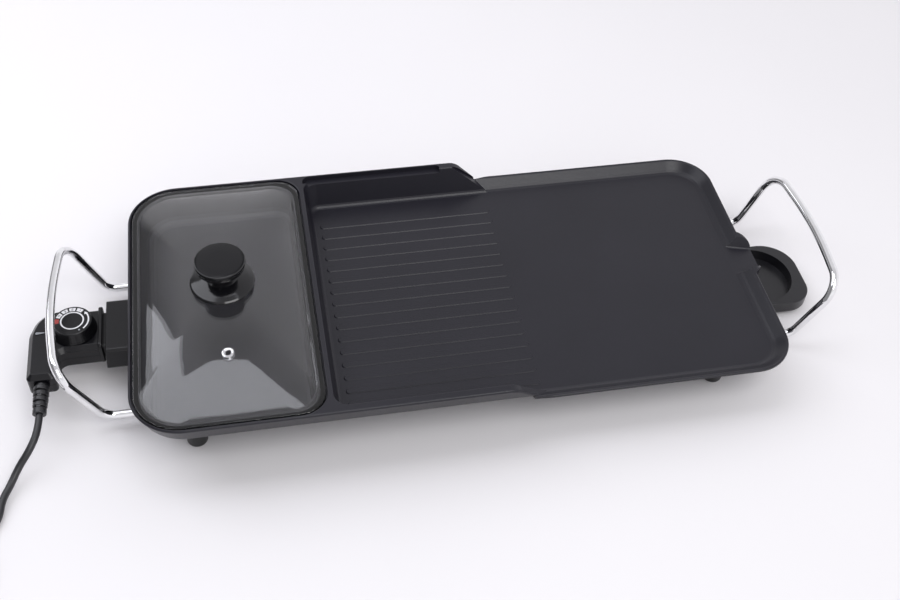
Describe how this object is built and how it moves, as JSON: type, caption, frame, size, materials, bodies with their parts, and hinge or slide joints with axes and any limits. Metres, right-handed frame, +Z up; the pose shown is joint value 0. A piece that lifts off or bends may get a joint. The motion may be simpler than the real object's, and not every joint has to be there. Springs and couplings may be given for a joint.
{
  "type": "electric table grill",
  "caption": "Long low table grill: a deep pot under a lift-off glass lid beside a ribbed griddle with a spout and drip cup, wire handles and a plug-in dial controller on a lead.",
  "frame": {"origin": "middle of the grill's footprint on the table, lead and plug left out", "axes": "+X along the grill from the controller towards the spout and drip cup, +Y to the back, +Z up"},
  "size_m": [0.8901, 0.4018, 0.1193],
  "materials": {
    "nonstick": "satin dark non-stick coating on a die casting",
    "element_steel": "matt heat-stained sheath",
    "seal_ceramic": "matt",
    "pin_steel": "polished",
    "guard_plastic": "matt moulded",
    "screw_steel": "zinc plated",
    "handle_chrome": "bright plated wire",
    "clamp_steel": "zinc plated",
    "foot_plastic": "matt moulded",
    "pad_rubber": "matt",
    "lid_glass": "clear tempered glass",
    "trim_steel": "polished eyelet",
    "knob_plastic": "semi-gloss heat-resistant plastic",
    "knob_cap_plastic": "semi-gloss",
    "cup_plastic": "gloss",
    "controller_plastic": "fine texture",
    "contact_brass": "plain",
    "lead_plastic": "insulation",
    "cord_black": "satin",
    "tie_plastic": "wire tie",
    "plug_plastic": "satin moulded",
    "dial_plastic": "fine texture with plain white marks"
  },
  "bodies": {
    "base": {"grill_plate": "nonstick", "heating_element": "element_steel", "terminal_seals": "seal_ceramic", "terminal_pins": "pin_steel", "socket_guard": "guard_plastic", "guard_screws": "screw_steel", "handle_left": "handle_chrome", "handle_right": "handle_chrome", "handle_clamps": "clamp_steel", "clamp_screws": "screw_steel", "feet": "foot_plastic", "foot_pads": "pad_rubber", "foot_screws": "screw_steel", "cup_rails": "clamp_steel", "rail_screws": "screw_steel"},
    "lid": {"lid_glass": "lid_glass", "vent_eyelet": "trim_steel", "knob_gasket": "pad_rubber", "knob_flange": "knob_plastic", "knob_body": "knob_plastic", "knob_cap": "knob_cap_plastic", "knob_nut": "screw_steel", "knob_washer": "pad_rubber", "knob_screw": "screw_steel"},
    "cup": {"drip_cup": "cup_plastic"},
    "controller": {"controller_top": "controller_plastic", "controller_bottom": "controller_plastic", "shell_screws": "screw_steel", "contact_block": "guard_plastic", "receptacles": "contact_brass", "probe_tube": "pin_steel", "thermostat_frame": "clamp_steel", "spindle_bush": "contact_brass", "contact_blades": "contact_brass", "blade_insulators": "seal_ceramic", "inner_leads": "lead_plastic", "cord_clamp": "guard_plastic", "strain_relief": "cord_black", "cord": "cord_black", "cord_tail": "cord_black", "cord_coil": "cord_black", "coil_tie": "tie_plastic", "plug_body": "plug_plastic", "plug_pins": "pin_steel", "earth_clips": "contact_brass"},
    "dial": {"dial_knob": "dial_plastic", "dial_spindle": "pin_steel"},
    "follower": {"cam_follower": "seal_ceramic"}
  },
  "joints": [
    {"name": "lid_lift", "type": "slide", "parent": "base", "child": "lid", "axis": [0, 0, 1], "range_m": [0, 0.12]},
    {"name": "cup_slide", "type": "slide", "parent": "base", "child": "cup", "axis": [1, 0, 0], "range_m": [0, 0.07]},
    {"name": "controller_unplug", "type": "slide", "parent": "base", "child": "controller", "axis": [-1, 0, 0], "range_m": [0, 0.08]},
    {"name": "dial_turn", "type": "hinge", "parent": "controller", "child": "dial", "pos_m": [-0.3385, 0, 0.05], "axis": [0, 0, -1], "range_deg": [0, 270]},
    {"name": "follower_slide", "type": "slide", "parent": "controller", "child": "follower", "axis": [0, 0, -1], "range_m": [0, 0.001]}
  ],
  "couplings": [
    {"joint": "follower_slide", "follows": "dial_turn", "m_per_rad": 0.0002}
  ]
}
